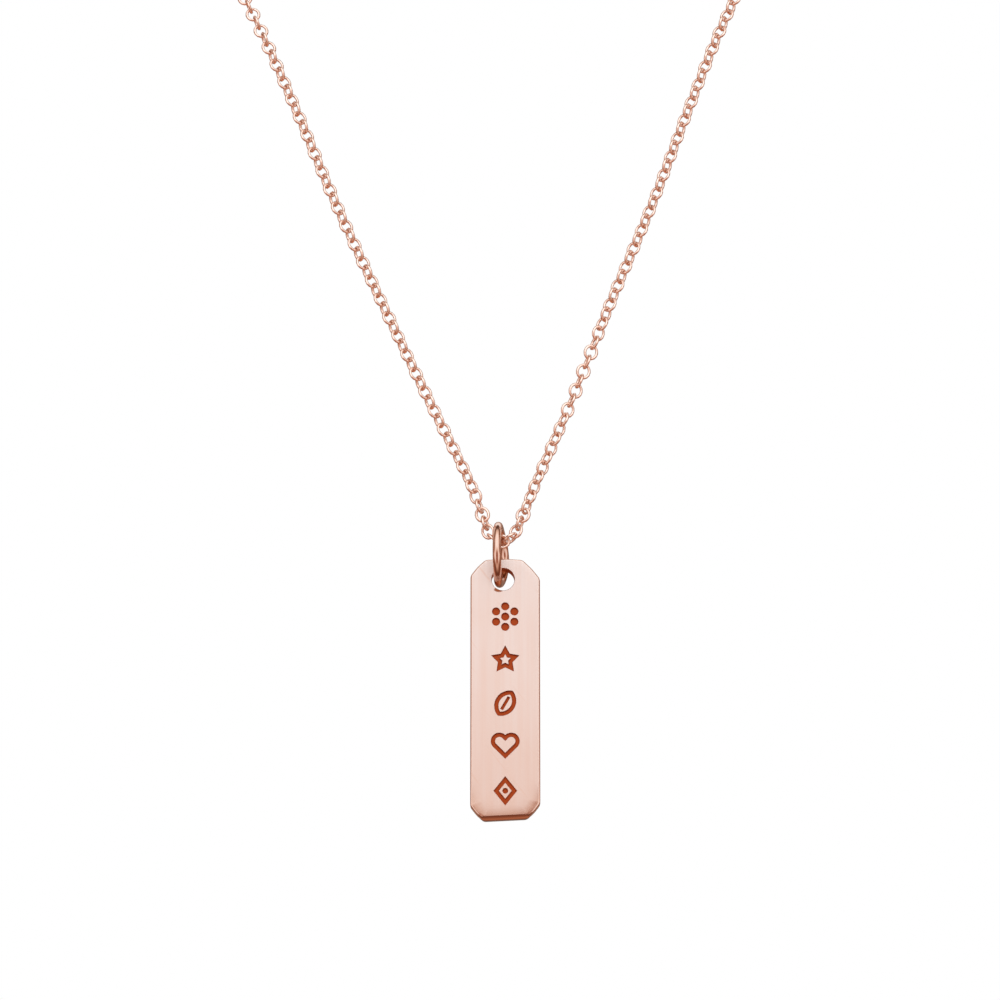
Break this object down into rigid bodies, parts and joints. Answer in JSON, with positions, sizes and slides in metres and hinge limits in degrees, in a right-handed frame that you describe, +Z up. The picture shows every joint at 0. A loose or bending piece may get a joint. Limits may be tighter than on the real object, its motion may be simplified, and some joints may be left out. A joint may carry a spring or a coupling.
{
  "type": "bar necklace",
  "caption": "Fine cable-chain necklace, closed by a small round clasp, with a flat engraved bar with clipped corners that hangs free on a jump ring.",
  "frame": {"origin": "the nape of the neck, in the middle of the clasp, where the necklace hangs", "axes": "+Z up, the bar's engraved front faces -Y, +X to the right as seen from the front"},
  "size_m": [0.1124, 0.1048, 0.153],
  "materials": {
    "bar_satin": "satin rose gold, faintly brushed upright, with polished edges and a dark engraving",
    "ring_polish": "polished rose gold wire",
    "chain_gold": "polished rose gold wire links",
    "clasp_polish": "polished rose gold"
  },
  "bodies": {
    "neck_chain": {"chain_front": "chain_gold", "chain_back": "chain_gold", "clasp": "clasp_polish", "end_ring": "clasp_polish"},
    "jump_ring": {"jump_ring": "ring_polish"},
    "bar": {"bar": "bar_satin"}
  },
  "joints": [
    {"name": "ring_swing", "type": "hinge", "parent": "neck_chain", "child": "jump_ring", "pos_m": [0, -0.1, -0.1222], "axis": [1, 0, 0], "range_deg": [-60, 60]},
    {"name": "bar_swing", "type": "hinge", "parent": "jump_ring", "child": "bar", "pos_m": [-0.0001, -0.1, -0.12618], "axis": [0, 1, 0], "range_deg": [-60, 60]}
  ]
}
